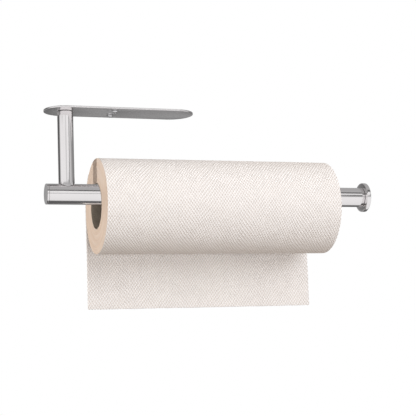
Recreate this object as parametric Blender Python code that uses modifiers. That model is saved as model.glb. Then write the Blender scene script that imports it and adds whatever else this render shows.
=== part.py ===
"""Paper towel holder for the underside of a cabinet, with a roll of kitchen paper on its bar.

A thin mounting plate with round ends carries one post, and the post carries the bar near the bar's left
end. One long bolt goes in through the plate, runs down inside the post and screws into a plug in the bar.
The bar's right end is free and has a stopper disc that is smaller than the roll's core.

The frame has +X along the bar towards the stopper, +Y away from the viewer and +Z up. Its origin is the
middle of the plate's top face, which lies against the cabinet.
"""

import math

import bmesh
import bpy
from mathutils import Matrix, Vector

# Driving dimensions, in metres.
GAP = 0.0003                      # left between pieces that touch or are pressed together

PLATE_LENGTH = 0.165
PLATE_WIDTH = 0.046
PLATE_THICKNESS = 0.002
PLATE_EDGE_ROUNDING = 0.0003

POST_X = -0.0595                  # the post's axis
POST_RADIUS = 0.0085
POST_WALL = 0.0012

BAR_RADIUS = 0.011
BAR_WALL = 0.0012
BAR_START_X = -0.082              # outer face of the cap on the bar's left end
BAR_LENGTH = 0.366                # from that face to the stopper disc
BAR_DROP = 0.091                  # from the cabinet down to the bar's axis

CAP_THICKNESS = 0.002
CAP_SPIGOT = 0.004
STOPPER_RADIUS = 0.0165
STOPPER_THICKNESS = 0.005
STOPPER_EDGE_ROUNDING = 0.0008
CHAMFER = 0.0004

BOLT_RADIUS = 0.0025              # M5 countersunk bolt and screw
BOLT_HEAD_RADIUS = 0.00465
BOLT_HOLE_RADIUS = 0.0032
HEX_SOCKET_RADIUS = 0.0017        # corner radius of the 3 mm hexagon socket
HEX_SOCKET_DEPTH = 0.0018
HEAD_RECESS = 0.0002              # a countersunk head lies this far below its face
TIE_BOLT_LENGTH = 0.095
STOPPER_SCREW_LENGTH = 0.016

TOP_GUIDE_LENGTH = 0.008
FOOT_GUIDE_LENGTH = 0.011
BAR_PLUG_LENGTH = 0.031
END_NUT_LENGTH = 0.016

SCREW_X = -0.008                  # the two mounting screws stand side by side across the plate
SCREW_SPACING = 0.023
SCREW_SHANK_RADIUS = 0.00175
SCREW_HOLE_RADIUS = 0.0021
SCREW_HEAD_RADIUS = 0.0033
SCREW_HEAD_HEIGHT = 0.0022
SCREW_RECESS = 0.0003             # the short shank ends this far below the plate's top face
SCREW_END_CHAMFER = 0.0003
CROSS_RECESS_WIDTH = 0.0009
CROSS_RECESS_LENGTH = 0.0034
CROSS_RECESS_DEPTH = 0.0012

ROLL_START_X = -0.028
ROLL_LENGTH = 0.263
ROLL_RADIUS = 0.0515
ROLL_EDGE_ROUNDING = 0.0008
CORE_INNER_RADIUS = 0.0238
CORE_WALL = 0.0008

SHEET_THICKNESS = 0.0005
SHEET_LAP_DEGREES = 50.0          # how far the sheet still lies on the back of the roll
SHEET_HANG = 0.1075               # from the height of the roll's axis to the torn edge
SHEET_SWAY = 0.0012               # the hanging part bows by this much towards and away from the viewer

# Places that follow from the driving dimensions.
BAR_BORE = BAR_RADIUS - BAR_WALL
POST_BORE = POST_RADIUS - POST_WALL
STOPPER_X = BAR_START_X + BAR_LENGTH
ROLL_DROP = BAR_DROP + CORE_INNER_RADIUS - BAR_RADIUS - GAP
POST_TOP = -PLATE_THICKNESS - GAP
HEAD_LAND = CHAMFER / 2
SINK_DEPTH = BOLT_HEAD_RADIUS + HEAD_RECESS + HEAD_LAND + 1.5 * GAP - BOLT_HOLE_RADIUS
SINK_MOUTH_RADIUS = BOLT_HOLE_RADIUS + 2 * SINK_DEPTH
ALONG_X = Matrix.Rotation(math.radians(90.0), 4, "Y")
UPRIGHT = Matrix.Identity(4)

ROLL_SEGMENTS = 96
TUBE_SEGMENTS = 64
SMALL_SEGMENTS = 32


def clear_scene():
    """Remove every object that the file starts with."""
    for obj in list(bpy.data.objects):
        bpy.data.objects.remove(obj, do_unlink=True)


def new_collection(name):
    """Add a collection to the scene."""
    collection = bpy.data.collections.new(name)
    bpy.context.scene.collection.children.link(collection)
    return collection


def make_material(name, colour, metallic, roughness):
    """Make a Principled material of one colour."""
    material = bpy.data.materials.new(name)
    material.use_nodes = True
    shader = material.node_tree.nodes["Principled BSDF"]
    shader.inputs["Base Color"].default_value = (*colour, 1.0)
    shader.inputs["Metallic"].default_value = metallic
    shader.inputs["Roughness"].default_value = roughness
    return material


def place(obj, collection, matrix, material=None):
    """Put an object in its collection, at its place, with its material."""
    collection.objects.link(obj)
    obj.matrix_world = matrix
    if material:
        obj.data.materials.append(material)
    return obj


def arc(centre, radius, start, end, steps):
    """Points on an arc in the (radius, height) plane of a turned profile, angles in degrees."""
    angles = [math.radians(start + (end - start) * i / steps) for i in range(steps + 1)]
    return [(centre[0] + radius * math.cos(a), centre[1] + radius * math.sin(a)) for a in angles]


def turned(name, profile, closed, segments):
    """Turn a profile of (radius, height) points about the local Z axis with a Screw modifier.

    An open profile starts and ends on the axis. A closed one makes a ring. Both run down their outer side.
    """
    mesh = bpy.data.meshes.new(name)
    outline = bmesh.new()
    points = [outline.verts.new((radius, 0.0, height)) for radius, height in profile]
    for start, end in zip(points, points[1:]):
        outline.edges.new((start, end))
    if closed:
        outline.edges.new((points[-1], points[0]))
    outline.to_mesh(mesh)
    outline.free()
    obj = bpy.data.objects.new(name, mesh)
    screw = obj.modifiers.new("Turn", "SCREW")
    screw.axis = "Z"
    screw.angle = math.tau
    screw.steps = segments
    screw.render_steps = segments
    screw.use_merge_vertices = True
    screw.merge_threshold = 0.00001
    screw.use_smooth_shade = True
    return obj


def rod_profile(radius, length, chamfer):
    """A solid round bar from height 0 to length, chamfered at both ends."""
    return [
        (0.0, length),
        (radius - chamfer, length),
        (radius, length - chamfer),
        (radius, chamfer),
        (radius - chamfer, 0.0),
        (0.0, 0.0),
    ]


def ring_profile(inner, outer, length, chamfer):
    """A tube from height 0 to length, with its outer edges chamfered."""
    return [
        (outer - chamfer, length),
        (outer, length - chamfer),
        (outer, chamfer),
        (outer - chamfer, 0.0),
        (inner, 0.0),
        (inner, length),
    ]


def countersunk_profile(length):
    """A countersunk bolt, tip at height 0 and head at length."""
    cone = BOLT_HEAD_RADIUS - BOLT_RADIUS
    return [
        (0.0, length),
        (BOLT_HEAD_RADIUS, length),
        (BOLT_HEAD_RADIUS, length - HEAD_LAND),
        (BOLT_RADIUS, length - HEAD_LAND - cone),
        (BOLT_RADIUS, CHAMFER),
        (BOLT_RADIUS - CHAMFER, 0.0),
        (0.0, 0.0),
    ]


def cylinder_cutter(name, radius, length, matrix, segments=SMALL_SEGMENTS, top_radius=None):
    """A cylinder or cone that cuts, centred on its place, along local Z."""
    mesh = bpy.data.meshes.new(name)
    solid = bmesh.new()
    bmesh.ops.create_cone(
        solid,
        cap_ends=True,
        segments=segments,
        radius1=radius,
        radius2=radius if top_radius is None else top_radius,
        depth=length,
    )
    solid.to_mesh(mesh)
    solid.free()
    return hide_cutter(bpy.data.objects.new(name, mesh), matrix)


def countersink(name, matrix):
    """The cone that seats a countersunk head, centred on the face that the head lies in."""
    return cylinder_cutter(name, BOLT_HOLE_RADIUS, 2 * SINK_DEPTH, matrix, top_radius=SINK_MOUTH_RADIUS)


def box_cutter(name, size, matrix):
    """A box that cuts, centred on its place."""
    mesh = bpy.data.meshes.new(name)
    solid = bmesh.new()
    bmesh.ops.create_cube(solid, size=1.0)
    bmesh.ops.scale(solid, vec=size, verts=solid.verts)
    solid.to_mesh(mesh)
    solid.free()
    return hide_cutter(bpy.data.objects.new(name, mesh), matrix)


def hide_cutter(obj, matrix):
    """Keep a cutter out of the render and put it with the other cutters."""
    obj.hide_render = True
    obj.display_type = "WIRE"
    return place(obj, CUTTERS, matrix)


def cut(obj, *cutters):
    """Take the cutters out of an object."""
    for cutter in cutters:
        boolean = obj.modifiers.new(cutter.name, "BOOLEAN")
        boolean.operation = "DIFFERENCE"
        boolean.solver = "EXACT"
        boolean.object = cutter
    return obj


def at(x, z, turn=UPRIGHT, y=0.0):
    """A place in the holder's frame, with an optional turn."""
    return Matrix.Translation(Vector((x, y, z))) @ turn


def make_plate():
    """The mounting plate: a flat strip with round ends, two screw holes and the countersunk bolt hole."""
    outline = bpy.data.curves.new("plate_outline", "CURVE")
    outline.dimensions = "2D"
    outline.fill_mode = "BOTH"
    outline.extrude = PLATE_THICKNESS / 2
    end_radius = PLATE_WIDTH / 2
    straight = PLATE_LENGTH / 2 - end_radius
    right = arc((straight, 0.0), end_radius, -90.0, 90.0, SMALL_SEGMENTS)
    left = arc((-straight, 0.0), end_radius, 90.0, 270.0, SMALL_SEGMENTS)
    points = right + left
    spline = outline.splines.new("POLY")
    spline.points.add(len(points) - 1)
    for point, (x, y) in zip(spline.points, points):
        point.co = (x, y, 0.0, 1.0)
    spline.use_cyclic_u = True
    blank = place(bpy.data.objects.new("plate_blank", outline), PARTS, at(0.0, -PLATE_THICKNESS / 2))
    evaluated = blank.evaluated_get(bpy.context.evaluated_depsgraph_get())
    mesh = bpy.data.meshes.new_from_object(evaluated)
    weld = bmesh.new()
    weld.from_mesh(mesh)
    bmesh.ops.remove_doubles(weld, verts=weld.verts, dist=0.00001)
    weld.to_mesh(mesh)
    weld.free()
    plate = place(bpy.data.objects.new("mounting_plate", mesh), PARTS, blank.matrix_world.copy(), STEEL)
    bpy.data.objects.remove(blank, do_unlink=True)

    bevel = plate.modifiers.new("Soft edges", "BEVEL")
    bevel.width = PLATE_EDGE_ROUNDING
    bevel.segments = 2
    bevel.limit_method = "ANGLE"
    bevel.angle_limit = math.radians(40.0)
    depth = PLATE_THICKNESS * 2
    screw_holes = [
        cylinder_cutter(f"screw_hole_{side}", SCREW_HOLE_RADIUS, depth, at(SCREW_X, -PLATE_THICKNESS, y=y))
        for side, y in screw_sides()
    ]
    return cut(plate, countersink("plate_countersink", at(POST_X, 0.0)), *screw_holes)


def screw_sides():
    """The names of the two mounting screws and their distance from the plate's centre line."""
    return (("front", -SCREW_SPACING / 2), ("rear", SCREW_SPACING / 2))


def make_post():
    """The post tube, coped at the bottom to sit on the bar, with a guide ring for the bolt at each end."""
    crossing = at(POST_X, -BAR_DROP, ALONG_X)
    saddle = cylinder_cutter("saddle", BAR_RADIUS + GAP, 4 * BAR_RADIUS, crossing, TUBE_SEGMENTS)
    length = BAR_DROP + POST_TOP
    tube_profile = ring_profile(POST_BORE, POST_RADIUS, length, CHAMFER / 2)
    tube = turned("post_tube", tube_profile, True, TUBE_SEGMENTS)
    place(tube, PARTS, at(POST_X, -BAR_DROP), STEEL)
    cut(tube, saddle)

    ring = POST_BORE - GAP
    top_profile = ring_profile(BOLT_HOLE_RADIUS, ring, TOP_GUIDE_LENGTH, CHAMFER)
    top = turned("post_top_guide", top_profile, True, SMALL_SEGMENTS)
    place(top, PARTS, at(POST_X, POST_TOP - TOP_GUIDE_LENGTH), PLUG_STEEL)

    foot_bottom = -BAR_DROP + BAR_RADIUS / 2
    foot_profile = ring_profile(BOLT_HOLE_RADIUS, ring, FOOT_GUIDE_LENGTH, CHAMFER)
    foot = turned("post_foot_guide", foot_profile, True, SMALL_SEGMENTS)
    place(foot, PARTS, at(POST_X, foot_bottom), PLUG_STEEL)
    cut(foot, saddle)


def make_bar():
    """The bar tube with its cap, the plug that takes the long bolt and the nut behind the stopper."""
    start = BAR_START_X + CAP_THICKNESS + GAP
    length = STOPPER_X - GAP - start
    tube = turned("bar_tube", ring_profile(BAR_BORE, BAR_RADIUS, length, CHAMFER / 2), True, TUBE_SEGMENTS)
    place(tube, PARTS, at(start, -BAR_DROP, ALONG_X), STEEL)
    way_in = at(POST_X, -BAR_DROP + BAR_RADIUS)
    cut(tube, cylinder_cutter("bar_bolt_hole", BOLT_HOLE_RADIUS, BAR_RADIUS, way_in))

    spigot = BAR_BORE - GAP
    cap_profile = [
        (0.0, CAP_SPIGOT),
        (spigot - CHAMFER, CAP_SPIGOT),
        (spigot, CAP_SPIGOT - CHAMFER),
        (spigot, 0.0),
        (BAR_RADIUS, 0.0),
        (BAR_RADIUS, CHAMFER - CAP_THICKNESS),
        (BAR_RADIUS - CHAMFER, -CAP_THICKNESS),
        (0.0, -CAP_THICKNESS),
    ]
    cap = turned("bar_end_cap", cap_profile, False, TUBE_SEGMENTS)
    place(cap, PARTS, at(BAR_START_X + CAP_THICKNESS, -BAR_DROP, ALONG_X), STEEL)

    plug = turned("bar_plug", rod_profile(spigot, BAR_PLUG_LENGTH, CHAMFER), False, SMALL_SEGMENTS)
    place(plug, PARTS, at(POST_X - BAR_PLUG_LENGTH / 2, -BAR_DROP, ALONG_X), PLUG_STEEL)
    thread_depth = BAR_RADIUS + TIE_BOLT_LENGTH - BAR_DROP + 2 * GAP
    thread_place = at(POST_X, -BAR_DROP + BAR_RADIUS - thread_depth / 2)
    cut(plug, cylinder_cutter("plug_thread", BOLT_RADIUS + GAP, thread_depth, thread_place))

    nut_profile = ring_profile(BOLT_RADIUS + GAP, spigot, END_NUT_LENGTH, CHAMFER)
    nut = turned("bar_end_nut", nut_profile, True, SMALL_SEGMENTS)
    place(nut, PARTS, at(STOPPER_X - GAP - END_NUT_LENGTH, -BAR_DROP, ALONG_X), PLUG_STEEL)


def make_stopper():
    """The stopper disc, with rounded edges and a countersunk hole in its outer face."""
    rounding = STOPPER_EDGE_ROUNDING
    rim = STOPPER_RADIUS - rounding
    outer_edge = arc((rim, STOPPER_THICKNESS - rounding), rounding, 90.0, 0.0, 4)
    inner_edge = arc((rim, rounding), rounding, 0.0, -90.0, 4)
    bore = [(BOLT_HOLE_RADIUS, 0.0), (BOLT_HOLE_RADIUS, STOPPER_THICKNESS)]
    disc = turned("stopper_disc", outer_edge + inner_edge + bore, True, TUBE_SEGMENTS)
    place(disc, PARTS, at(STOPPER_X, -BAR_DROP, ALONG_X), STEEL)
    cut(disc, countersink("stopper_countersink", at(STOPPER_X + STOPPER_THICKNESS, -BAR_DROP, ALONG_X)))


def make_countersunk(name, length, head, tip, turn):
    """A countersunk bolt from its head's face to its tip, with a hexagon socket in the head."""
    bolt = turned(name, countersunk_profile(length), False, SMALL_SEGMENTS)
    place(bolt, PARTS, at(tip[0], tip[1], turn), BOLT_STEEL)
    socket_place = at(head[0], head[1], turn)
    cut(bolt, cylinder_cutter(f"{name}_socket", HEX_SOCKET_RADIUS, 2 * HEX_SOCKET_DEPTH, socket_place, 6))


def make_bolts():
    """The long bolt that ties plate, post and bar together, and the screw that holds the stopper."""
    tie_head = -HEAD_RECESS
    tie_tip = tie_head - TIE_BOLT_LENGTH
    make_countersunk("tie_bolt", TIE_BOLT_LENGTH, (POST_X, tie_head), (POST_X, tie_tip), UPRIGHT)
    screw_head = STOPPER_X + STOPPER_THICKNESS - HEAD_RECESS
    screw_tip = screw_head - STOPPER_SCREW_LENGTH
    make_countersunk(
        "stopper_screw", STOPPER_SCREW_LENGTH, (screw_head, -BAR_DROP), (screw_tip, -BAR_DROP), ALONG_X
    )


def make_mounting_screws():
    """Two short pan-head screws with cross recesses, their heads below the plate."""
    seat = PLATE_THICKNESS + GAP
    total = seat - SCREW_RECESS
    cheek = SCREW_HEAD_HEIGHT * 0.35
    dome = [
        (
            SCREW_HEAD_RADIUS * math.cos(math.radians(a)),
            -cheek - (SCREW_HEAD_HEIGHT - cheek) * math.sin(math.radians(a)),
        )
        for a in (0.0, 18.0, 36.0, 54.0, 72.0)
    ]
    profile = [
        (0.0, total),
        (SCREW_SHANK_RADIUS - SCREW_END_CHAMFER, total),
        (SCREW_SHANK_RADIUS, total - SCREW_END_CHAMFER),
        (SCREW_SHANK_RADIUS, 0.0),
        (SCREW_HEAD_RADIUS, 0.0),
        *dome,
        (0.0, -SCREW_HEAD_HEIGHT),
    ]
    for side, y in screw_sides():
        screw = turned(f"mounting_screw_{side}", profile, False, SMALL_SEGMENTS)
        place(screw, PARTS, at(SCREW_X, -seat, y=y), BOLT_STEEL)
        recess_place = at(SCREW_X, -seat - SCREW_HEAD_HEIGHT, y=y)
        long, wide, deep = CROSS_RECESS_LENGTH, CROSS_RECESS_WIDTH, 2 * CROSS_RECESS_DEPTH
        cut(
            screw,
            box_cutter(f"recess_along_{side}", (long, wide, deep), recess_place),
            box_cutter(f"recess_across_{side}", (wide, long, deep), recess_place),
        )


def make_roll():
    """The cardboard core, hanging on the bar, and the paper wound on it."""
    core_outer = CORE_INNER_RADIUS + CORE_WALL
    core_profile = ring_profile(CORE_INNER_RADIUS, core_outer, ROLL_LENGTH, CHAMFER / 4)
    core = turned("roll_core", core_profile, True, ROLL_SEGMENTS)
    place(core, PARTS, at(ROLL_START_X, -ROLL_DROP, ALONG_X), CARDBOARD)
    paper_profile = ring_profile(core_outer + GAP, ROLL_RADIUS, ROLL_LENGTH, ROLL_EDGE_ROUNDING)
    paper = turned("paper_roll", paper_profile, True, ROLL_SEGMENTS)
    place(paper, PARTS, at(ROLL_START_X, -ROLL_DROP, ALONG_X), PAPER)


def sheet_path():
    """The line that the free sheet follows: over the back of the roll, then down in a slight bow."""
    radius = ROLL_RADIUS + GAP + SHEET_THICKNESS / 2
    lap = arc((0.0, -ROLL_DROP), radius, SHEET_LAP_DEGREES, 0.0, 12)
    steps = 16
    hang = []
    for i in range(1, steps + 1):
        bow = SHEET_SWAY * (1.0 - math.cos(math.tau * i / steps)) / 2
        hang.append((radius - bow, -ROLL_DROP - SHEET_HANG * i / steps))
    return lap + hang


def make_sheet():
    """The free sheet: a thin strip that hangs from the back of the roll."""
    mesh = bpy.data.meshes.new("hanging_sheet")
    strip = bmesh.new()
    points = [strip.verts.new((ROLL_START_X, y, z)) for y, z in sheet_path()]
    edges = [strip.edges.new(pair) for pair in zip(points, points[1:])]
    swept = bmesh.ops.extrude_edge_only(strip, edges=edges)["geom"]
    far_edge = [element for element in swept if isinstance(element, bmesh.types.BMVert)]
    bmesh.ops.translate(strip, verts=far_edge, vec=(ROLL_LENGTH, 0.0, 0.0))
    strip.to_mesh(mesh)
    strip.free()
    sheet = place(bpy.data.objects.new("hanging_sheet", mesh), PARTS, UPRIGHT, PAPER)
    solidify = sheet.modifiers.new("Paper", "SOLIDIFY")
    solidify.thickness = SHEET_THICKNESS
    solidify.offset = 0.0
    solidify.use_even_offset = True


def shade_round():
    """Shade the round pieces smooth and keep their corners sharp."""
    for obj in PARTS.objects:
        obj.data.shade_smooth()
        obj.data.set_sharp_from_angle(angle=math.radians(35.0))


clear_scene()
PARTS = new_collection("paper_towel_holder")
CUTTERS = new_collection("cutters")
STEEL = make_material("brushed_steel", (0.62, 0.61, 0.61), 1.0, 0.28)
PLUG_STEEL = make_material("turned_steel", (0.50, 0.50, 0.51), 1.0, 0.35)
BOLT_STEEL = make_material("zinc_plated_steel", (0.68, 0.68, 0.69), 1.0, 0.22)
CARDBOARD = make_material("core_cardboard", (0.42, 0.36, 0.28), 0.0, 0.9)
PAPER = make_material("embossed_paper", (0.88, 0.85, 0.82), 0.0, 0.95)

make_plate()
make_post()
make_bar()
make_stopper()
make_bolts()
make_mounting_screws()
make_roll()
make_sheet()
shade_round()
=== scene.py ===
"""Visual model of an under-cabinet paper towel holder with a roll of embossed kitchen paper.

Every piece takes its place and size from the fixed frame. The steel parts are spun or extruded to
the frame's sizes with finer edges, and the paper gets its embossing, wound edge and torn end.
"""

import math

import bmesh
import bpy
from bpy.props import FloatProperty, FloatVectorProperty, IntProperty, PointerProperty
from bpy.types import Operator, Panel, PropertyGroup
from mathutils import Matrix, Vector, noise


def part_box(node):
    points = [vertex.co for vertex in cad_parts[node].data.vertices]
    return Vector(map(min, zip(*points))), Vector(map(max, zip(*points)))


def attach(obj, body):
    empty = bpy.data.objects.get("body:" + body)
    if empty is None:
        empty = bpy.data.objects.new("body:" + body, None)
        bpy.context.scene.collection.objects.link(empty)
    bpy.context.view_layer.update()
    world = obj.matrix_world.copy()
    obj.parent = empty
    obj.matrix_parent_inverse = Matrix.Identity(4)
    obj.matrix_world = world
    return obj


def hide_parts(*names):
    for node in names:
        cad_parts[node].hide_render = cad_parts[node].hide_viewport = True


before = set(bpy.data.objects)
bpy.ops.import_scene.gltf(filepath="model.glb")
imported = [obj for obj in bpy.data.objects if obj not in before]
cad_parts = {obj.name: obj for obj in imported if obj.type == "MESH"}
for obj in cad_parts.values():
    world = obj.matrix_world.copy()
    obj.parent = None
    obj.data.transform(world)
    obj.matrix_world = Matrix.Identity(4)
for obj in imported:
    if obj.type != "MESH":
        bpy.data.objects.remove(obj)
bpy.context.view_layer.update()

bl_info = {
    "name": "Paper Towel Holder",
    "version": (1, 0, 0),
    "blender": (4, 5, 0),
    "location": "View3D > Sidebar > Towel Holder",
    "description": "Builds an under-cabinet paper towel holder with a roll of embossed paper",
    "category": "Object",
}

X = Vector((1, 0, 0))
Z = Vector((0, 0, 1))


# Places and sizes read from the frame. Each box is read once, because reading one is slow.

BOXES = {node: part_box(node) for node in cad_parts}


def low(node, axis):
    """A node's lowest coordinate along an axis, 0 for X, 1 for Y and 2 for Z."""
    return BOXES[node][0][axis]


def high(node, axis):
    """A node's highest coordinate along an axis."""
    return BOXES[node][1][axis]


def middle(node, axis):
    """The middle of a node along an axis."""
    return (low(node, axis) + high(node, axis)) / 2


def extent(node, axis):
    """A node's length along an axis."""
    return high(node, axis) - low(node, axis)


def half(node, axis):
    """Half a node's length along an axis, such as the outer radius of a round piece."""
    return extent(node, axis) / 2


BAR_Z = middle("bar_tube", 2)
POST_X = middle("post_tube", 0)
ROLL_Z = middle("paper_roll", 2)
ROLL_RADIUS = half("paper_roll", 2)
ROLL_START = low("paper_roll", 0)
ROLL_STOP = high("paper_roll", 0)


# Sizes in metres that a user would leave alone.

EDGE_BREAK = 0.0002  # Rounding of small edges.
TUBE_ROUND = 0.0003  # Rounding of the bar's ends and the post's foot.

SCREW_HOLE = 0.0021  # Radius of the plate's two screw holes.
BOLT_HOLE = 0.0032  # Radius of the holes for the two bolts.
SINK_ROOM = 0.0006  # How much wider a countersink is than its bolt's head.

BOLT_STEPS = 48
BOLT_SHANK = 0.0025
BOLT_PITCH = 0.0008
BOLT_THREAD = 0.00035  # Depth of the thread.
BOLT_THREADED = 0.022  # Longest threaded part.
BOLT_PLAIN = 0.002  # Shortest plain part under the head.
BOLT_LAND = 0.0002  # Height and inset of the head's edge.
BOLT_CHAMFER = 0.0002
SOCKET_MOUTH = 0.0021
SOCKET_CORNER = 0.0017
SOCKET_DEPTH = 0.0016
SOCKET_CONE = 0.35  # Depth of the drilled cone under the socket, as a share of its corner radius.

SCREW_HEAD = 0.0022  # Height of the head.
SCREW_CREST = 0.00175
SCREW_ROOT = 0.00135
SCREW_PITCH = 0.0007
SCREW_CHAMFER = 0.0004
RECESS_ARM = 0.00052  # Half the width of an arm of the cross.
RECESS_WALL = 0.00014
RECESS_REACH = 0.0019
RECESS_DEPTH = 0.0011

CORE_WALL = 0.0008
CORE_GAP = 0.0002  # Between the core and the innermost paper.
CORE_SPIRAL = 0.085  # Length of the core that one turn of its seam takes.
ROLL_BEND = 0.0008  # Rounding of the roll's two outer edges.
SHEET_INSET = 0.00025  # From the frame's outer face to the middle of the sheet.
SHEET_LAP = math.radians(49.5)  # How far round the roll the sheet lies on it.

# Heights of the finest relief, which only the materials show.

BRUSH_HEIGHT = 0.00002
LATHE_HEIGHT = 0.00003
PLATING_HEIGHT = 0.00001
FIBRE_HEIGHT = 0.00008
LAYER_HEIGHT = 0.00016
BOARD_HEIGHT = 0.00015

# The rows of dimples wander along two sine waves, given in radians a metre.

SLOW_WANDER = 83.0
QUICK_WANDER = 197.0
QUICK_START = 1.0
QUICK_SHARE = 0.6


# Settings that a user would change.

def length(label, text, value):
    """A length setting in metres."""
    return FloatProperty(
        name=label, description=text, default=value, min=0.0, precision=5, unit="LENGTH"
    )


def colour(label, text, value):
    """A colour setting."""
    return FloatVectorProperty(
        name=label, description=text, default=value, size=3, min=0.0, max=1.0, subtype="COLOR"
    )


def amount(label, text, value):
    """A plain number from 0 to 1."""
    return FloatProperty(
        name=label, description=text, default=value, min=0.0, max=1.0, subtype="FACTOR"
    )


def angle(label, text, degrees):
    """An angle setting."""
    return FloatProperty(
        name=label, description=text, default=math.radians(degrees), subtype="ANGLE"
    )


def power(label, text, watts):
    """The power of a light."""
    return FloatProperty(name=label, description=text, default=watts, unit="POWER")


class SteelSettings(PropertyGroup):
    """Sizes and finish of the steel parts."""

    bar_radius: length("Bar radius", "Outer radius of the bar", half("bar_tube", 2))
    post_radius: length("Post radius", "Outer radius of the post", half("post_tube", 0))
    stopper_radius: length(
        "Stopper radius", "Radius of the disc on the bar's end", half("stopper_disc", 2)
    )
    tube_wall: length("Tube wall", "Wall thickness of the bar and the post", 0.0012)
    seam: length("Seam", "Gap between pieces that meet", 0.0003)
    rim_round: length("Rim round", "Rounding of the post's top and the cap's rim", 0.0005)
    stopper_round: length("Stopper round", "Rounding of the stopper's two rims", 0.001)
    plate_round: length("Plate round", "Rounding of the plate's edges", 0.0004)
    steel: colour("Steel", "Colour of the polished steel", (0.86, 0.835, 0.838))
    turned: colour("Turned steel", "Colour of the hidden turned parts", (0.55, 0.55, 0.56))
    plating: colour("Plating", "Colour of the plated fasteners", (0.9, 0.9, 0.91))
    roughness: amount("Roughness", "Roughness of the polished steel", 0.08)
    plate_roughness: amount("Plate roughness", "Roughness of the mounting plate", 0.17)


class PaperSettings(PropertyGroup):
    """Embossing and colours of the kitchen paper and its core."""

    pitch: length("Pitch", "Distance between two dimples of a row", 0.0032)
    row: length("Row", "Distance between two rows of dimples", 0.00231)
    drift: length("Drift", "How far the rows of dimples wander", 0.0016)
    depth: length("Depth", "Depth of a dimple", 0.00028)
    slack: length("Slack", "How uneven the wound surface is", 0.00022)
    thickness: length("Thickness", "Thickness of the loose sheet", 0.00035)
    sway: length("Sway", "How far the loose sheet bows", 0.0012)
    wave: length("Wave", "Height of the loose sheet's waves at its torn end", 0.0016)
    teeth: length("Teeth", "Height of the teeth along the torn end", 0.0005)
    rings: IntProperty(
        name="Rings", description="Ridges on the wound edge", default=26, min=4, max=60
    )
    paper: colour("Paper", "Colour of the paper", (0.885, 0.866, 0.86))
    # Painted shade: the colour that darkens the bottom of each dimple, also the tint of the random
    # mottling.
    dimple_shade_and_mottle: colour("Dimple", "Colour at the bottom of a dimple", (0.75, 0.695, 0.655))
    edge: colour("Wound edge", "Colour of the wound edge", (0.73, 0.60, 0.50))
    edge_line: colour("Edge line", "Colour between two layers", (0.64, 0.52, 0.43))
    board: colour("Cardboard", "Colour of the core", (0.34, 0.30, 0.25))
    board_dark: colour("Cardboard dark", "Colour of the core's darker fibres", (0.20, 0.17, 0.14))


class StageSettings(PropertyGroup):
    """Camera, floor and light."""

    azimuth: angle("Azimuth", "Camera's turn round the object", -18.82)
    elevation: angle("Elevation", "Camera's height as an angle", -7.45)
    roll: angle("Roll", "Camera's tilt about its view", -2.09)
    distance: length("Distance", "From the camera to the point it looks at", 1.2753)
    aim: FloatVectorProperty(
        name="Aim",
        description="Point that the camera looks at",
        default=(0.0975, 0.0, -0.1045),
        unit="LENGTH",
    )
    lens: FloatProperty(
        name="Lens", description="Focal length in millimetres", default=100.45, min=10.0
    )
    floor_drop: length("Floor drop", "From the object's lowest point to the floor", 0.5)
    key_power: power("Key", "Power of the front light", 19.0)
    side_power: power("Side", "Power of the left light", 10.5)
    top_power: power("Top", "Power of the top light", 6.5)
    low_power: power("Low", "Power of the low front light", 13.2)
    rear_power: power("Rear", "Power of the rear light", 19.0)
    fill: colour("Fill", "Soft light from all round", (0.43, 0.37, 0.32))


# Shader sums and nodes.

class Value:
    """A socket's number in a node graph: sums on it add Math nodes."""

    def __init__(self, graph, socket):
        self.graph = graph
        self.socket = socket

    def sum(self, operation, first, second):
        """Add a Math node for two values, either of which may be a plain number."""
        return self.graph.function(operation, first, second)

    def __add__(self, other):
        return self.sum("ADD", self, other)

    def __radd__(self, other):
        return self.sum("ADD", other, self)

    def __sub__(self, other):
        return self.sum("SUBTRACT", self, other)

    def __rsub__(self, other):
        return self.sum("SUBTRACT", other, self)

    def __mul__(self, other):
        return self.sum("MULTIPLY", self, other)

    def __rmul__(self, other):
        return self.sum("MULTIPLY", other, self)

    def __truediv__(self, other):
        return self.sum("DIVIDE", self, other)

    def __rtruediv__(self, other):
        return self.sum("DIVIDE", other, self)

    def __pow__(self, other):
        return self.sum("POWER", self, other)

    def __neg__(self):
        return self.sum("MULTIPLY", self, -1.0)


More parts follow.
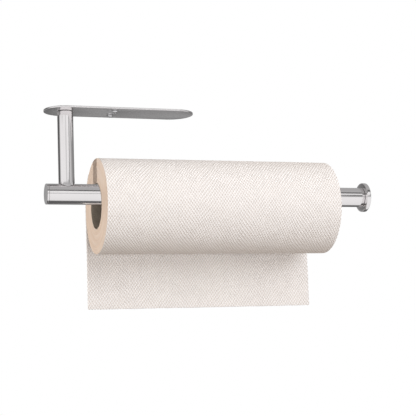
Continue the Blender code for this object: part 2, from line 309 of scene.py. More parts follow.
class Graph:
    """The node graph of a material or a world."""

    def __init__(self, tree):
        self.tree = tree

    def node(self, kind, settings=None, inputs=None, output=0):
        """Add a node, set its settings first and then its sockets, and return an output."""
        node = self.tree.nodes.new(kind)
        for key, value in (settings or {}).items():
            if key == "stops":
                self.set_stops(node.color_ramp, value)
            else:
                setattr(node, key, value)
        for key, value in (inputs or {}).items():
            self.feed(node.inputs[key], value)
        return Value(self, node.outputs[output])

    def feed(self, socket, value):
        """Link a value to a socket, or set the socket's own number or colour."""
        if isinstance(value, Value):
            self.tree.links.new(value.socket, socket)
        elif hasattr(value, "__len__") and socket.type == "RGBA":
            socket.default_value = (*value, 1.0)
        else:
            socket.default_value = value

    def set_stops(self, ramp, stops):
        """Give a ramp its stops, each a position and a grey level."""
        while len(ramp.elements) < len(stops):
            ramp.elements.new(0.5)
        for element, (position, level) in zip(ramp.elements, stops):
            element.position = position
            element.color = (level, level, level, 1.0)

    def panels(self, turn, stops):
        """Grey levels round a full turn, from stops that give each its angle in degrees."""
        placed = [((degrees + 180.0) / 360.0, level) for degrees, level in stops]
        return self.node("ShaderNodeValToRGB", {"stops": placed}, {0: turn})

    def mix(self, factor, first, second):
        """Mix two colours."""
        sockets = {0: factor, 6: first, 7: second}
        return self.node("ShaderNodeMix", {"data_type": "RGBA"}, sockets, 2)

    def function(self, operation, value, second=0.0):
        """A Math node of one or two values."""
        return self.node("ShaderNodeMath", {"operation": operation}, {0: value, 1: second})

    def rescale(self, value, from_low, from_high, to_low=0.0, to_high=1.0):
        """Map a range of values smoothly to another and clamp it."""
        sockets = {0: value, 1: from_low, 2: from_high, 3: to_low, 4: to_high}
        return self.node("ShaderNodeMapRange", {"interpolation_type": "SMOOTHSTEP"}, sockets)

    def place(self, scale=(1.0, 1.0, 1.0), shift=(0.0, 0.0, 0.0)):
        """Object coordinates, scaled and then shifted."""
        where = self.node("ShaderNodeTexCoord", output="Object")
        return self.node(
            "ShaderNodeMapping", None, {"Vector": where, "Location": shift, "Scale": scale}
        )

    def noise(self, where, scale, detail=2.0, roughness=0.5):
        """Noise from 0 to 1."""
        sockets = {"Vector": where, "Scale": scale, "Detail": detail, "Roughness": roughness}
        return self.node("ShaderNodeTexNoise", None, sockets, "Fac")

    def split(self, where):
        """A vector's X, Y and Z."""
        first = self.node("ShaderNodeSeparateXYZ", None, {0: where})
        return [Value(self, socket) for socket in first.socket.node.outputs]

    def join(self, x, y):
        """A vector with no Z."""
        return self.node("ShaderNodeCombineXYZ", None, {0: x, 1: y})

    def bump(self, height, distance, strength=1.0, normal=None):
        """A bump whose height of 1 stands for a distance in metres."""
        sockets = {"Height": height, "Distance": distance, "Strength": strength}
        if normal:
            sockets["Normal"] = normal
        return self.node("ShaderNodeBump", None, sockets)


def connect(graph, **sockets):
    """Feed the Principled shader's sockets, each named in small letters."""
    shader = graph.tree.nodes["Principled BSDF"]
    for key, value in sockets.items():
        name = key.replace("_", " ").title().replace("Ior", "IOR")
        graph.feed(shader.inputs[name], value)


def new_material(name, **constants):
    """Make a Principled material with its constants and return its graph."""
    material = bpy.data.materials.new(name)
    material.use_nodes = True
    graph = Graph(material.node_tree)
    connect(graph, **constants)
    return graph


def darker(tint, share):
    """A colour taken down to a share of its brightness."""
    return [level * share for level in tint]


# Materials.

def polished_steel(name, grain, roughness, strength=1.0):
    """Polished stainless steel with faint brush lines, which grain stretches along the piece."""
    steel = bpy.context.scene.holder_steel
    graph = new_material(name, metallic=1.0)
    lines = graph.noise(graph.place(scale=grain), scale=1.0, detail=3.0, roughness=0.6)
    scuffs = graph.noise(graph.place(), scale=38.0)
    smudge = graph.rescale(scuffs, 0.35, 0.75)
    worn = lines * 0.35 + smudge * 0.15
    connect(
        graph,
        base_color=graph.mix(worn, steel.steel, darker(steel.steel, 0.9)),
        roughness=roughness + lines * 0.05 * strength + smudge * 0.03,
        normal=graph.bump(lines, BRUSH_HEIGHT * strength),
    )


def turned_steel(name):
    """Machined steel with lathe lines, for the parts inside the tubes."""
    steel = bpy.context.scene.holder_steel
    graph = new_material(name, metallic=1.0)
    marks = graph.noise(graph.place(scale=(2600.0, 90.0, 90.0)), scale=1.0)
    connect(
        graph,
        base_color=graph.mix(marks, steel.turned, darker(steel.turned, 0.8)),
        roughness=0.3 + marks * 0.12,
        normal=graph.bump(marks, LATHE_HEIGHT),
    )


def plated_steel(name):
    """Bright zinc plating with a faint grain, for the screws and bolts."""
    steel = bpy.context.scene.holder_steel
    graph = new_material(name, metallic=1.0)
    grain = graph.noise(graph.place(), scale=900.0, detail=3.0)
    clouds = graph.noise(graph.place(), scale=160.0)
    connect(
        graph,
        base_color=graph.mix(clouds, steel.plating, darker(steel.plating, 0.82)),
        roughness=0.16 + grain * 0.1,
        normal=graph.bump(grain, PLATING_HEIGHT),
    )


def emboss_pattern(graph, paper):
    """Height from 0, at a dimple's bottom, to 1, read from the paper's own flat coordinates."""
    flat = graph.node("ShaderNodeUVMap", {"uv_map": "flat"})
    across, along, _ = graph.split(flat)
    slow = graph.function("SINE", across * SLOW_WANDER) * paper.drift
    wave = graph.function("SINE", across * QUICK_WANDER + QUICK_START)
    quick = wave * (paper.drift * QUICK_SHARE)
    waves = graph.function("COSINE", across * (math.tau / paper.pitch))
    rows = graph.function("COSINE", (along + slow + quick) * (math.pi / paper.row))
    return graph.rescale(waves * rows, -0.85, 0.35)


def embossed_paper(name):
    """Soft two-ply paper: dimples with painted shade at their bottoms, fine fibres and a slightly
    uneven cream colour.
    """
    paper = bpy.context.scene.holder_paper
    graph = new_material(name, specular_ior_level=0.25)
    height = emboss_pattern(graph, paper)
    fibres = graph.noise(graph.place(), scale=2600.0, detail=4.0, roughness=0.65)
    clouds = graph.noise(graph.place(), scale=55.0, detail=3.0)
    patches = graph.rescale(graph.noise(graph.place(), scale=90.0), 0.3, 0.7)
    # Painted shade: the paper darkens towards the dimple-shade colour at each dimple's bottom; the
    # clouds below add random mottling.
    tint = graph.mix(height, paper.dimple_shade_and_mottle, paper.paper)
    soft = graph.mix(graph.rescale(clouds, 0.3, 0.75) * 0.12, tint, paper.dimple_shade_and_mottle)
    speck = graph.mix(graph.rescale(fibres, 0.62, 0.8) * 0.35, soft, paper.edge)
    relief = graph.bump(height * (0.75 + patches * 0.25), paper.depth * 2.0)
    connect(
        graph,
        base_color=speck,
        roughness=0.88 + fibres * 0.1,
        normal=graph.bump(fibres, FIBRE_HEIGHT, 0.6, relief),
    )


def wound_edge(name):
    """The end of the roll: hundreds of thin layers seen edge on, with a few looser ones."""
    paper = bpy.context.scene.holder_paper
    graph = new_material(name, specular_ior_level=0.2)
    _, y, z = graph.split(graph.place(shift=(0.0, 0.0, -ROLL_Z)))
    radius = (y * y + z * z) ** 0.5
    turn = graph.function("ARCTAN2", z, y)
    layer_place = graph.join(radius * 1500.0 + turn * 0.16, turn * 1.6)
    layers = graph.noise(layer_place, scale=1.0, roughness=0.6)
    bands = graph.noise(graph.join(radius * 260.0, turn * 0.7), scale=1.0)
    fibres = graph.noise(graph.place(), scale=2200.0, detail=3.0)
    tint = graph.mix(graph.rescale(layers, 0.35, 0.7), paper.edge_line, paper.edge)
    connect(
        graph,
        base_color=graph.mix(graph.rescale(bands, 0.35, 0.75) * 0.18, tint, paper.paper),
        roughness=0.9 + fibres * 0.08,
        normal=graph.bump(layers + fibres * 0.3, LAYER_HEIGHT),
    )


def core_board(name):
    """Grey cardboard wound in a spiral, with a seam that runs round the tube."""
    paper = bpy.context.scene.holder_paper
    graph = new_material(name, specular_ior_level=0.2)
    x, y, z = graph.split(graph.place(shift=(0.0, 0.0, -ROLL_Z)))
    turn = graph.function("ARCTAN2", z, y) / math.tau
    wrap = graph.function("FRACT", x / CORE_SPIRAL + turn + 1.0)
    seam = graph.rescale(graph.function("ABSOLUTE", wrap - 0.5), 0.012, 0.03)
    fibres = graph.noise(
        graph.place(scale=(0.5, 1.0, 1.0)), scale=1400.0, detail=4.0, roughness=0.6
    )
    clouds = graph.noise(graph.place(), scale=70.0)
    grime = graph.rescale(fibres, 0.3, 0.7) * 0.6 + clouds * 0.3
    tint = graph.mix(grime, paper.board, paper.board_dark)
    connect(
        graph,
        base_color=graph.mix(seam, paper.board_dark, tint),
        roughness=0.86 + fibres * 0.1,
        normal=graph.bump(seam * 2.0 + fibres * 0.25, BOARD_HEIGHT),
    )


# Mesh work.

def clamp(share):
    """Keep a number from 0 to 1."""
    return min(1.0, max(0.0, share))


def rounded(corners, steps=4):
    """A profile through corners (radius, along, rounding), each rounding cut from both sides."""
    points = []
    for index, (radius, along, rounding) in enumerate(corners):
        here = Vector((radius, along))
        if rounding <= 0.0:
            points.append(here)
            continue
        before = Vector(corners[index - 1][:2]) - here
        after = Vector(corners[(index + 1) % len(corners)][:2]) - here
        start = here + before.normalized() * rounding
        end = here + after.normalized() * rounding
        for step in range(steps + 1):
            share = step / steps
            points.append(start.lerp(here, share).lerp(here.lerp(end, share), share))
    return points


def spin_profile(shape, profile, centre, axis, steps, closed):
    """Spin a profile of (radius, along) points a full turn about the axis through centre."""
    side = Z if axis == X else X
    verts = [shape.verts.new(centre + side * radius + axis * along) for radius, along in profile]
    pairs = list(zip(verts, verts[1:]))
    if closed:
        pairs.append((verts[-1], verts[0]))
    edges = [shape.edges.new(pair) for pair in pairs]
    bmesh.ops.spin(
        shape,
        geom=verts + edges,
        cent=centre,
        axis=axis,
        angle=math.tau,
        steps=steps,
        use_merge=True,
    )
    bmesh.ops.remove_doubles(shape, verts=shape.verts, dist=0.000001)
    bmesh.ops.recalc_face_normals(shape, faces=shape.faces)


def make_piece(name, shape, finishes, body, node, sharp=35.0):
    """Turn a bmesh into a finished piece that rides on a body and stands for a frame's node."""
    mesh = bpy.data.meshes.new(name)
    shape.to_mesh(mesh)
    shape.free()
    mesh.shade_smooth()
    mesh.set_sharp_from_angle(angle=math.radians(sharp))
    piece = bpy.data.objects.new(name, mesh)
    bpy.context.scene.collection.objects.link(piece)
    for finish in finishes:
        mesh.materials.append(bpy.data.materials[finish])
    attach(piece, body)
    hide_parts(node)
    return piece


def outline_ring(shape, points, z):
    """A closed ring of edges through points (x, y) at height z."""
    verts = [shape.verts.new((x, y, z)) for x, y in points]
    return [shape.edges.new(pair) for pair in zip(verts, verts[1:] + verts[:1])]


def ring_points(centre, radius, steps, start=0.0, turn=math.tau):
    """Points (x, y) on an arc; a full turn doesn't repeat its first point."""
    count = steps if turn == math.tau else steps + 1
    turns = [start + turn * index / steps for index in range(count)]
    return [
        (centre[0] + radius * math.cos(each), centre[1] + radius * math.sin(each))
        for each in turns
    ]


def kind_of(items, kind):
    """Those items of a bmesh operator's result that are of one kind."""
    return [item for item in items if isinstance(item, kind)]


def hex_socket(shape, centre, axis):
    """Bridge a bolt's round opening to a hexagon socket that goes in against the axis."""
    turn = axis.to_track_quat("Z", "Y").to_matrix().to_4x4()
    rim = [edge for edge in shape.edges if edge.is_boundary]
    made = bmesh.ops.create_circle(
        shape,
        cap_ends=False,
        radius=SOCKET_CORNER,
        segments=6,
        matrix=Matrix.Translation(centre) @ turn,
    )
    mouth = list({edge for vert in made["verts"] for edge in vert.link_edges})
    cuts = BOLT_STEPS // 6 - 1
    bmesh.ops.subdivide_edges(shape, edges=mouth, cuts=cuts, use_grid_fill=False)
    mouth = [edge for edge in shape.edges if not edge.link_faces]
    bmesh.ops.bridge_loops(shape, edges=rim + mouth)
    lip = [edge for edge in shape.edges if edge.is_boundary]
    walls = bmesh.ops.extrude_edge_only(shape, edges=lip)["geom"]
    foot = kind_of(walls, bmesh.types.BMVert)
    bmesh.ops.translate(shape, verts=foot, vec=-axis * SOCKET_DEPTH)
    floor = [edge for edge in kind_of(walls, bmesh.types.BMEdge) if edge.is_boundary]
    cone = bmesh.ops.extrude_edge_only(shape, edges=floor)["geom"]
    tip = centre - axis * (SOCKET_DEPTH + SOCKET_CORNER * SOCKET_CONE)
    bmesh.ops.pointmerge(shape, verts=kind_of(cone, bmesh.types.BMVert), merge_co=tip)
    bmesh.ops.recalc_face_normals(shape, faces=shape.faces)


def countersunk_bolt(name, node, axis):
    """A countersunk machine bolt: hexagon socket, cone, rolled thread and chamfered tip."""
    which = 0 if axis == X else 2
    head = Vector([middle(node, each) for each in range(3)])
    head[which] = high(node, which)
    end = extent(node, which)
    head_radius = half(node, 1)
    shank = BOLT_SHANK
    root = shank - BOLT_THREAD
    neck = BOLT_LAND + head_radius - shank
    threaded = min(BOLT_THREADED, end - neck - BOLT_PLAIN)
    profile = [
        (SOCKET_MOUTH, 0.0),
        (head_radius - BOLT_LAND, 0.0),
        (head_radius, -BOLT_LAND),
        (shank, -neck),
        (shank, -end + threaded),
    ]
    for index in range(int(threaded / BOLT_PITCH) - 1):
        along = -end + threaded - BOLT_PITCH * (index + 0.5)
        profile += [(root, along), (shank, along - BOLT_PITCH / 2)]
    profile += [(root, -end + BOLT_CHAMFER), (shank - BOLT_THREAD * 2, -end), (0.0, -end)]
    shape = bmesh.new()
    spin_profile(shape, profile, head, axis, BOLT_STEPS, False)
    hex_socket(shape, head, axis)
    make_piece(name, shape, ["plated_steel"], "holder", node)


def emboss(paper, across, along):
    """How deep the embossing lies at a place on the paper, from 0 to the full depth."""
    slow = paper.drift * math.sin(across * SLOW_WANDER)
    quick = paper.drift * QUICK_SHARE * math.sin(across * QUICK_WANDER + QUICK_START)
    rows = math.cos(math.pi * (along + slow + quick) / paper.row)
    waves = math.cos(math.tau * across / paper.pitch) * rows
    return paper.depth * (0.5 - 0.5 * waves)


def add_flat_map(shape, where):
    """Give each corner its place on the unrolled paper, in metres."""
    flat = shape.loops.layers.uv.new("flat")
    round_roll = math.tau * ROLL_RADIUS
    for face in shape.faces:
        face_along = where(face.calc_center_median())[1]
        for loop in face.loops:
            across, along = where(loop.vert.co)
            along -= round_roll * round((along - face_along) / round_roll)
            loop[flat].uv = (across, along)


# Operators for the steel parts.

class HOLDER_OT_finishes(Operator):
    """Make every material of the holder and the paper"""

    bl_idname = "holder.finishes"
    bl_label = "Finishes"

    def execute(self, context):
        steel = context.scene.holder_steel
        polished_steel("bar_steel", (7.0, 900.0, 900.0), steel.roughness)
        polished_steel("post_steel", (900.0, 900.0, 7.0), steel.roughness)
        polished_steel("plate_steel", (9.0, 750.0, 90.0), steel.plate_roughness, 1.6)
        polished_steel("disc_steel", (900.0, 60.0, 60.0), steel.roughness)
        turned_steel("inner_steel")
        plated_steel("plated_steel")
        embossed_paper("embossed_paper")
        wound_edge("wound_edge")
        core_board("core_board")
        return {"FINISHED"}


class HOLDER_OT_plate(Operator):
    """Model the mounting plate with round ends, two screw holes and a countersink"""

    bl_idname = "holder.plate"
    bl_label = "Mounting plate"

    def execute(self, context):
        steel = context.scene.holder_steel
        node = "mounting_plate"
        end = half(node, 1)
        straight = half(node, 0) - end
        top = high(node, 2)
        thick = extent(node, 2)
        right = ring_points((straight, 0.0), end, 48, -math.pi / 2, math.pi)
        left = ring_points((-straight, 0.0), end, 48, math.pi / 2, math.pi)
        shape = bmesh.new()
        edges = outline_ring(shape, right + left, top)
        for screw in ("mounting_screw_front", "mounting_screw_rear"):
            centre = (middle(screw, 0), middle(screw, 1))
            edges += outline_ring(shape, ring_points(centre, SCREW_HOLE, 32), top)
        edges += outline_ring(shape, ring_points((POST_X, 0.0), BOLT_HOLE, 48), top)
        bmesh.ops.triangle_fill(shape, use_beauty=True, edges=edges, normal=Z)
        faces = list(shape.faces)
        sheet = bmesh.ops.extrude_face_region(shape, geom=faces, use_keep_orig=True)["geom"]
        lower = kind_of(sheet, bmesh.types.BMVert)
        bmesh.ops.translate(shape, verts=lower, vec=-Z * thick)
        bmesh.ops.recalc_face_normals(shape, faces=shape.faces)
        self.countersink(shape, top - thick / 2)
        rims = [
            edge
            for edge in shape.edges
            if edge.is_manifold and edge.calc_face_angle() > math.radians(40.0)
        ]
        bmesh.ops.bevel(
            shape,
            geom=rims,
            offset=steel.plate_round,
            segments=3,
            profile=0.5,
            affect="EDGES",
            material=-1,
        )
        make_piece("plate", shape, ["plate_steel"], "holder", node)
        return {"FINISHED"}

    def countersink(self, shape, above):
        """Widen the upper rim of the bolt's hole, which lies above a height."""
        bolt = Vector((POST_X, 0.0))
        wide = half("tie_bolt", 1) + SINK_ROOM
        for vert in shape.verts:
            away = vert.co.xy - bolt
            if vert.co.z > above and away.length < BOLT_HOLE + EDGE_BREAK:
                vert.co.xy = bolt + away.normalized() * wide


class HOLDER_OT_post(Operator):
    """Model the post tube, coped at its foot to sit on the bar"""

    bl_idname = "holder.post"
    bl_label = "Post"

    def execute(self, context):
        steel = context.scene.holder_steel
        node = "post_tube"
        top = high(node, 2)
        radius = steel.post_radius
        bore = radius - steel.tube_wall
        saddle = steel.bar_radius + steel.seam
        foot = BAR_Z + saddle
        above_cope = foot + 0.004
        profile = rounded(
            [
                (bore, top, EDGE_BREAK),
                (radius, top, steel.rim_round),
                (radius, above_cope, 0.0),
                (radius, foot, TUBE_ROUND),
                (bore, foot, EDGE_BREAK),
            ]
        )
        shape = bmesh.new()
        spin_profile(shape, profile, Vector((POST_X, 0.0, 0.0)), Z, 96, True)
        for vert in shape.verts:
            if vert.co.z < (foot + above_cope) / 2:
                reach = min(abs(vert.co.y), saddle)
                vert.co.z += math.sqrt(saddle**2 - reach**2) - saddle
        make_piece("post", shape, ["post_steel"], "holder", node)
        return {"FINISHED"}


class HOLDER_OT_bar(Operator):
    """Model the bar tube and the cap on its left end"""

    bl_idname = "holder.bar"
    bl_label = "Bar and cap"

    def execute(self, context):
        steel = context.scene.holder_steel
        radius = steel.bar_radius
        bore = radius - steel.tube_wall
        node = "bar_tube"
        start, stop = low(node, 0), high(node, 0)
        axis = Vector((0.0, 0.0, BAR_Z))
        wall = [
            (bore, start, 0.0),
            (bore, stop, 0.0),
            (radius, stop, TUBE_ROUND),
            (radius, start, TUBE_ROUND),
        ]
        shape = bmesh.new()
        spin_profile(shape, rounded(wall), axis, X, 128, True)
        make_piece("bar", shape, ["bar_steel"], "holder", node)

        node = "bar_end_cap"
        face, back = low(node, 0), high(node, 0)
        lip = start - steel.seam
        spigot = bore - steel.seam
        section = [
            (0.0, face, 0.0),
            (radius, face, steel.rim_round),
            (radius, lip, EDGE_BREAK),
            (spigot, lip, 0.0),
            (spigot, back, 0.0004),
            (0.0, back, 0.0),
        ]
        cap = bmesh.new()
        spin_profile(cap, rounded(section), axis, X, 128, False)
        make_piece("end_cap", cap, ["disc_steel"], "holder", node)
        return {"FINISHED"}


class HOLDER_OT_stopper(Operator):
    """Model the stopper disc with soft rims and a countersunk hole"""

    bl_idname = "holder.stopper"
    bl_label = "Stopper disc"

    def execute(self, context):
        steel = context.scene.holder_steel
        node = "stopper_disc"
        inner, outer = low(node, 0), high(node, 0)
        radius = steel.stopper_radius
        mouth = half("stopper_screw", 1) + SINK_ROOM
        profile = rounded(
            [
                (BOLT_HOLE, inner, EDGE_BREAK),
                (radius, inner, steel.stopper_round),
                (radius, outer, steel.stopper_round),
                (mouth, outer, EDGE_BREAK),
                (BOLT_HOLE, outer - mouth + BOLT_HOLE, 0.0),
            ],
            6,
        )
        shape = bmesh.new()
        spin_profile(shape, profile, Vector((0.0, 0.0, BAR_Z)), X, 128, True)
        make_piece("stopper", shape, ["disc_steel"], "holder", node)
        return {"FINISHED"}


class HOLDER_OT_fasteners(Operator):
    """Model the two bolts with hexagon sockets and the two short mounting screws"""

    bl_idname = "holder.fasteners"
    bl_label = "Fasteners"

    def execute(self, context):
        countersunk_bolt("long_bolt", "tie_bolt", Z)
        countersunk_bolt("stopper_bolt", "stopper_screw", X)
        for side in ("front", "rear"):
            self.mounting_screw(f"mounting_screw_{side}", f"wood_screw_{side}")
        return {"FINISHED"}

    def mounting_screw(self, node, name):
        """A short pan-head screw, head down, with a cross recess and a thread on its shank."""
        centre = Vector((middle(node, 0), middle(node, 1), 0.0))
        tip = high(node, 2)
        under = low(node, 2)
        seat = under + SCREW_HEAD
        radius = half(node, 0)
        crest = SCREW_CREST
        shoulder = tip - SCREW_CHAMFER
        profile = [(0.0, tip), (crest - 0.0005, tip), (crest - 0.0001, shoulder)]
        along = shoulder - SCREW_PITCH
        while along > seat + 0.0003:
            profile += [(SCREW_ROOT, along + SCREW_PITCH * 0.4), (crest, along)]
            along -= SCREW_PITCH
        profile.append((crest, seat))
        drop = seat - under
        rim = 0.3
        edge = [(crest, seat, 0.0), (radius, seat, 0.00015), (radius, seat - drop * rim, 0.0)]
        profile += rounded(edge)[1:]
        dome_steps = 8
        for step in range(1, dome_steps + 1):
            turn = math.radians(78.0) * step / dome_steps
            fall = rim + (1.0 - rim) * math.sin(turn)
            profile.append((radius * math.cos(turn), seat - drop * fall))
        profile.append((0.0, under))
        shape = bmesh.new()
        spin_profile(shape, profile, centre, Z, 48, False)
        self.cross_recess(shape, centre, under)
        make_piece(name, shape, ["plated_steel"], "holder", node)

    def cross_recess(self, shape, centre, under):
        """Press a cross-shaped recess up into the head's dome."""
        head = [face for face in shape.faces if face.calc_center_median().z < under + 0.0012]
        edges = list({edge for face in head for edge in face.edges})
        bmesh.ops.subdivide_edges(shape, edges=edges, cuts=3, use_grid_fill=True)
        for vert in shape.verts:
            if vert.co.z > under + 0.0014:
                continue
            away = vert.co - centre
            near, far = sorted((abs(away.x), abs(away.y)))
            wall = clamp((RECESS_ARM - near) / RECESS_WALL)
            slope = clamp((RECESS_REACH - far) / RECESS_DEPTH)
            vert.co.z += RECESS_DEPTH * wall * slope


class HOLDER_OT_inner_parts(Operator):
    """Give the guides, the plug and the nut inside the tubes their turned finish"""

    bl_idname = "holder.inner_parts"
    bl_label = "Inner parts"

    def execute(self, context):
        for node in ("post_top_guide", "post_foot_guide", "bar_plug", "bar_end_nut"):
            for slot in bpy.data.objects[node].material_slots:
                slot.material = bpy.data.materials["inner_steel"]
        return {"FINISHED"}


# Operators for the paper. The steel doesn't mirror the roll or its core.

class HOLDER_OT_core(Operator):
    """Model the cardboard core that hangs on the bar"""

    bl_idname = "holder.core"
    bl_label = "Roll core"

    def execute(self, context):
        node = "roll_core"
        outer = half(node, 2)
        inner = outer - CORE_WALL
        start, stop = low(node, 0), high(node, 0)
        steps = 60
        wall = [(inner, start, EDGE_BREAK)]
        wall += [
            (inner, start + (stop - start) * index / steps, 0.0) for index in range(1, steps)
        ]
        wall += [
            (inner, stop, EDGE_BREAK),
            (outer, stop, EDGE_BREAK),
            (outer, start, EDGE_BREAK),
        ]
        shape = bmesh.new()
        spin_profile(shape, rounded(wall, 2), Vector((0.0, 0.0, ROLL_Z)), X, 128, True)
        core = make_piece("core", shape, ["core_board"], "roll", node)
        core.visible_glossy = False
        return {"FINISHED"}


class HOLDER_OT_roll(Operator):
    """Model the wound paper with its embossed outside and its ridged ends"""

    bl_idname = "holder.roll"
    bl_label = "Paper roll"

    def execute(self, context):
        paper = context.scene.holder_paper
        steps = round(math.tau * ROLL_RADIUS / paper.row) * 2
        shape = bmesh.new()
        spin_profile(shape, self.profile(paper), Vector((0.0, 0.0, ROLL_Z)), X, steps, True)
        shape.normal_update()
        for face in shape.faces:
            face.material_index = 1 if abs(face.normal.x) > 0.75 else 0
        for vert in shape.verts:
            self.settle(vert, paper)

        def unroll(place):
            return place.x - ROLL_START, math.atan2(place.z - ROLL_Z, place.y) * ROLL_RADIUS

        add_flat_map(shape, unroll)
        finishes = ["embossed_paper", "wound_edge"]
        roll = make_piece("roll", shape, finishes, "roll", "paper_roll", sharp=60.0)
        roll.visible_glossy = False
        return {"FINISHED"}

    def profile(self, paper):
        """The section of half a roll: out along the left end, over the outside and back in."""
        radius, bend, start, stop = ROLL_RADIUS, ROLL_BEND, ROLL_START, ROLL_STOP
        bore = half("roll_core", 2) + CORE_GAP
        rings = paper.rings * 2
        left = [(bore + (radius - bend - bore) * index / rings, start) for index in range(rings)]
        right = [(reach, stop) for reach, _ in reversed(left)]
        count = round((stop - start) / paper.pitch) * 2
        straight = stop - start - bend * 2
        outside = [(radius, start + bend + straight * index / count) for index in range(1, count)]
        corner = [(radius - bend, start, 0.0), (radius, start, bend), (radius, start + bend, 0.0)]
        rim_left = rounded(corner)[1:-1]
        rim_right = [(reach, start + stop - along) for reach, along in reversed(rim_left)]
        return left + rim_left + outside + rim_right + right

    def settle(self, vert, paper):
        """Press a point in, for the embossing, the loose winding and the ridged ends."""
        across = vert.co.x
        away = Vector((0.0, vert.co.y, vert.co.z - ROLL_Z))
        reach = away.length
        turn = math.atan2(away.z, away.y)
        outward = away.normalized()
        y, z = outward.yz
        if reach > ROLL_RADIUS - ROLL_BEND * 0.4:
            loose = noise.noise(Vector((across * 22.0, y * 2.4, z * 2.4))) * 0.5 + 0.5
            ripple = noise.noise(Vector((across * 70.0, y * 7.0, z * 7.0 + 5.0))) * 0.5 + 0.5
            press = emboss(paper, across - ROLL_START, turn * ROLL_RADIUS)
            vert.co -= outward * (press + paper.slack * (0.7 * loose + 0.3 * ripple))
            return
        to_end = min(across - ROLL_START, ROLL_STOP - across)
        if to_end < ROLL_BEND * 0.3:
            into = 1.0 if across < (ROLL_START + ROLL_STOP) / 2 else -1.0
            layer = noise.noise(Vector((reach * 900.0, turn * 0.8, into)))
            sweep = noise.noise(Vector((y * 1.8, z * 1.8, reach * 120.0 + into)))
            vert.co.x += into * 0.0001 * (1.0 + 0.7 * layer + 0.3 * sweep)


class HOLDER_OT_sheet(Operator):
    """Model the loose sheet that leaves the back of the roll and hangs down to its torn end"""

    bl_idname = "holder.sheet"
    bl_label = "Hanging sheet"

    def execute(self, context):
        paper = context.scene.holder_paper
        node = "hanging_sheet"
        radius = high(node, 1) - SHEET_INSET
        start, stop = low(node, 0), high(node, 0)
        total = SHEET_LAP * radius + (ROLL_Z - low(node, 2))
        columns = round((stop - start) / paper.pitch) * 2
        rows = round(total / paper.row) * 2
        shape = bmesh.new()
        bmesh.ops.create_grid(shape, x_segments=columns, y_segments=rows, size=0.5)
        for vert in shape.verts:
            across = start + (stop - start) * (vert.co.x + 0.5)
            down = (0.5 - vert.co.y) * total
            vert.co = self.place(paper, across, across - start, down, radius, total)

        def unroll(place):
            if place.z > ROLL_Z:
                return place.x - start, math.atan2(place.z - ROLL_Z, place.y) * ROLL_RADIUS
            return place.x - start, place.z - ROLL_Z

        add_flat_map(shape, unroll)
        bmesh.ops.recalc_face_normals(shape, faces=shape.faces)
        finishes = ["embossed_paper"]
        sheet = make_piece("loose_sheet", shape, finishes, "free_sheet", node)
        wall = sheet.modifiers.new("Paper", "SOLIDIFY")
        wall.thickness = paper.thickness
        wall.offset = 0.0
        return {"FINISHED"}

    def place(self, paper, across, inward, down, radius, total):
        """Where a point lies, from its distances to the sheet's left edge and to its upper end."""
        lap = SHEET_LAP * radius
        if down < lap:
            turn = SHEET_LAP - down / radius
            outward = Vector((0.0, math.cos(turn), math.sin(turn)))
            press = emboss(paper, inward, turn * radius)
            return Vector((across, 0.0, ROLL_Z)) + outward * (radius - press * 0.6)
        fall = down - lap
        share = fall / (total - lap)
        bow = paper.sway * (1.0 - math.cos(math.tau * share)) / 2
        curl = math.sin(inward * 31.0 + 0.6) * 0.6 + math.sin(inward * 67.0 + 2.0) * 0.4
        wave = paper.wave * curl * share**1.6
        press = emboss(paper, inward, -fall)
        tooth = 0.0
        if total - down < 0.0002:
            tooth = paper.teeth * (0.5 + 0.5 * math.cos(math.tau * inward / paper.pitch))
        ragged = noise.noise(Vector((across * 60.0, 3.0, 0.0))) * 0.0004 * share
        y = radius - bow - press - wave + 0.0001
        return Vector((across, y, ROLL_Z - fall + tooth + ragged))


# Stage, light and camera.

LIGHTS_AIM = Vector((0.1, 0.0, -0.11))
WHITE = (1.0, 1.0, 1.0)
COOL = (0.93, 0.965, 1.0)
SKY = (0.93, 0.97, 1.0)
WARM = (1.0, 0.97, 0.93)

# Grey levels that the steel reflects, each at an angle in degrees. Those for the bar and the plate
# turn about X, from the front up, and those for the post and the room behind it turn about Z.

BAR_PANELS = (
    (-180, 0.42), (-150, 0.38), (-125, 0.28), (-115, 0.12), (-94, 0.11), (-86, 0.3), (-80, 0.88),
    (-45, 0.93), (-10, 0.96), (-2, 0.93), (0, 0.45), (6, 0.45), (8.5, 0.93), (20, 1.0),
    (27, 0.97), (30, 0.1), (39, 0.12), (43, 0.48), (65, 0.45), (110, 0.42), (140, 0.4),
    (172, 0.4), (180, 0.42),
)
REAR_PANELS = (
    (-180, 0.9), (-165, 1.0), (150, 1.0), (160, 1.0), (166, 0.75), (172, 0.38), (176, 0.45),
    (180, 0.9),
)
POST_PANELS = (
    (-180, 0.30), (-165, 0.38), (-158, 0.34), (-154, 0.2), (-150, 0.12), (-120, 0.08),
    (-113, 0.2), (-107, 0.42), (-97, 0.78), (-89, 0.95), (-18, 0.93), (-12, 0.70), (-3, 0.70),
    (2, 0.95), (24, 1.0), (28, 0.2), (37, 0.16), (42, 0.68), (58, 0.64), (72, 0.42), (90, 0.3),
    (110, 0.25), (180, 0.3),
)


def area_light(name, place, size, watts, tint):
    """A rectangular studio light that shows in no reflection."""
    light = bpy.data.lights.new(name, "AREA")
    light.shape = "RECTANGLE"
    light.size, light.size_y = size
    light.energy = watts
    light.color = tint
    lamp = bpy.data.objects.new(name, light)
    lamp.location = place
    lamp.rotation_euler = (LIGHTS_AIM - Vector(place)).to_track_quat("-Z", "Y").to_euler()
    lamp.visible_glossy = False
    lamp.visible_camera = False
    bpy.context.scene.collection.objects.link(lamp)


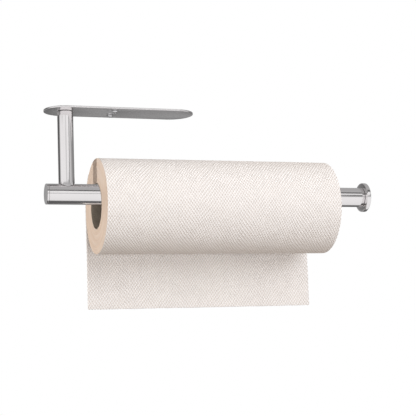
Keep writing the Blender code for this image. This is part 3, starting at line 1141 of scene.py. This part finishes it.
class HOLDER_OT_stage(Operator):
    """Set up the floor, the studio round the holder, the lights and the camera"""

    bl_idname = "holder.stage"
    bl_label = "Stage"

    def execute(self, context):
        stage = context.scene.holder_stage
        context.scene.view_settings.view_transform = "Standard"
        self.make_floor(stage)
        self.make_studio(context.scene, stage)
        area_light("key", (0.95, -1.75, 0.5), (1.5, 1.0), stage.key_power, COOL)
        area_light("low", (0.1, -1.6, -0.52), (1.4, 0.7), stage.low_power, COOL)
        area_light("top", (0.15, -0.5, 1.5), (1.6, 1.2), stage.top_power, SKY)
        area_light("rear", (-0.3, 1.8, 0.5), (1.5, 1.0), stage.rear_power, WHITE)
        area_light("right", (2.0, 0.35, 0.2), (0.8, 0.8), stage.rear_power * 0.4, WHITE)
        area_light("side", (-1.5, -0.12, -0.05), (0.12, 0.12), stage.side_power, WARM)
        self.make_camera(context.scene, stage)
        return {"FINISHED"}

    def make_floor(self, stage):
        """A plain pale floor well below the sheet."""
        height = low("hanging_sheet", 2) - stage.floor_drop
        shape = bmesh.new()
        bmesh.ops.create_grid(shape, x_segments=8, y_segments=8, size=3.0)
        bmesh.ops.translate(shape, verts=shape.verts, vec=(0.0, 0.0, height))
        mesh = bpy.data.meshes.new("floor")
        shape.to_mesh(mesh)
        shape.free()
        floor = bpy.data.objects.new("floor", mesh)
        bpy.context.scene.collection.objects.link(floor)
        new_material(
            "pale_floor",
            base_color=(0.8, 0.8, 0.8),
            roughness=0.9,
            specular_ior_level=0.1,
            emission_color=WHITE,
            emission_strength=0.7,
        )
        mesh.materials.append(bpy.data.materials["pale_floor"])
        floor.visible_glossy = False
        floor.visible_diffuse = False

    def make_studio(self, scene, stage):
        """A white room with panels that show only in the steel."""
        world = bpy.data.worlds.new("studio")
        scene.world = world
        world.use_nodes = True
        world.cycles.sampling_method = "NONE"
        graph = Graph(world.node_tree)
        x, y, z = graph.split(graph.node("ShaderNodeTexCoord", output="Generated"))
        spread = graph.rescale(x, 0.18, 0.45, 1.0, 1.4)
        round_bar = graph.function("ARCTAN2", z, -y) / math.tau / spread + 0.5
        round_post = graph.function("ARCTAN2", x, -y) / math.tau + 0.5
        in_bar = graph.panels(round_bar, BAR_PANELS) * graph.panels(round_post, REAR_PANELS)
        in_post = graph.panels(round_post, POST_PANELS)
        level_band = graph.rescale(z, 0.05, 0.10) * (1.0 - graph.rescale(z, 0.30, 0.42))
        bar_side = graph.rescale(x, 0.06, 0.16) * (1.0 - graph.rescale(x, 0.50, 0.53))
        studio = graph.mix(level_band * (1.0 - bar_side), in_bar, in_post)
        glossy = graph.node("ShaderNodeLightPath", output="Is Glossy Ray")
        seen = graph.node("ShaderNodeLightPath", output="Is Camera Ray")
        light = graph.mix(glossy, stage.fill, studio)
        background = world.node_tree.nodes["Background"]
        graph.feed(background.inputs["Color"], graph.mix(seen, light, WHITE))

    def make_camera(self, scene, stage):
        """A camera that looks slightly up at the holder from its front left."""
        lens = bpy.data.cameras.new("camera")
        lens.lens = stage.lens
        lens.sensor_width = 36.0
        camera = bpy.data.objects.new("camera", lens)
        turn, rise = stage.azimuth, stage.elevation
        level = math.cos(rise)
        away = Vector((math.sin(turn) * level, -math.cos(turn) * level, math.sin(rise)))
        camera.location = Vector(stage.aim) + away * stage.distance
        upright = (-away).to_track_quat("-Z", "Y").to_matrix()
        camera.rotation_euler = (upright @ Matrix.Rotation(stage.roll, 3, "Z")).to_euler()
        scene.collection.objects.link(camera)
        scene.camera = camera


class HOLDER_PT_panel(Panel):
    """The steps that build the holder, in the order in which they run"""

    bl_idname = "HOLDER_PT_panel"
    bl_label = "Towel Holder"
    bl_space_type = "VIEW_3D"
    bl_region_type = "UI"
    bl_category = "Towel Holder"

    def draw(self, context):
        scene = context.scene
        for step in STEPS:
            self.layout.operator(step.bl_idname)
        for settings in (scene.holder_steel, scene.holder_paper, scene.holder_stage):
            box = self.layout.box()
            for name in settings.bl_rna.properties.keys():
                if name not in ("rna_type", "name"):
                    box.prop(settings, name)


STEPS = (
    HOLDER_OT_stage,
    HOLDER_OT_finishes,
    HOLDER_OT_plate,
    HOLDER_OT_post,
    HOLDER_OT_bar,
    HOLDER_OT_stopper,
    HOLDER_OT_fasteners,
    HOLDER_OT_inner_parts,
    HOLDER_OT_core,
    HOLDER_OT_roll,
    HOLDER_OT_sheet,
)
CLASSES = (SteelSettings, PaperSettings, StageSettings, *STEPS, HOLDER_PT_panel)


def register():
    """Register the settings, the steps and the panel."""
    for each in CLASSES:
        bpy.utils.register_class(each)
    bpy.types.Scene.holder_steel = PointerProperty(type=SteelSettings)
    bpy.types.Scene.holder_paper = PointerProperty(type=PaperSettings)
    bpy.types.Scene.holder_stage = PointerProperty(type=StageSettings)


def unregister():
    """Take them all away again."""
    del bpy.types.Scene.holder_stage
    del bpy.types.Scene.holder_paper
    del bpy.types.Scene.holder_steel
    for each in reversed(CLASSES):
        bpy.utils.unregister_class(each)


def main():
    """Build the holder."""
    register()
    for step in STEPS:
        group, action = step.bl_idname.split(".")
        getattr(getattr(bpy.ops, group), action)()


if __name__ == "__main__":
    main()
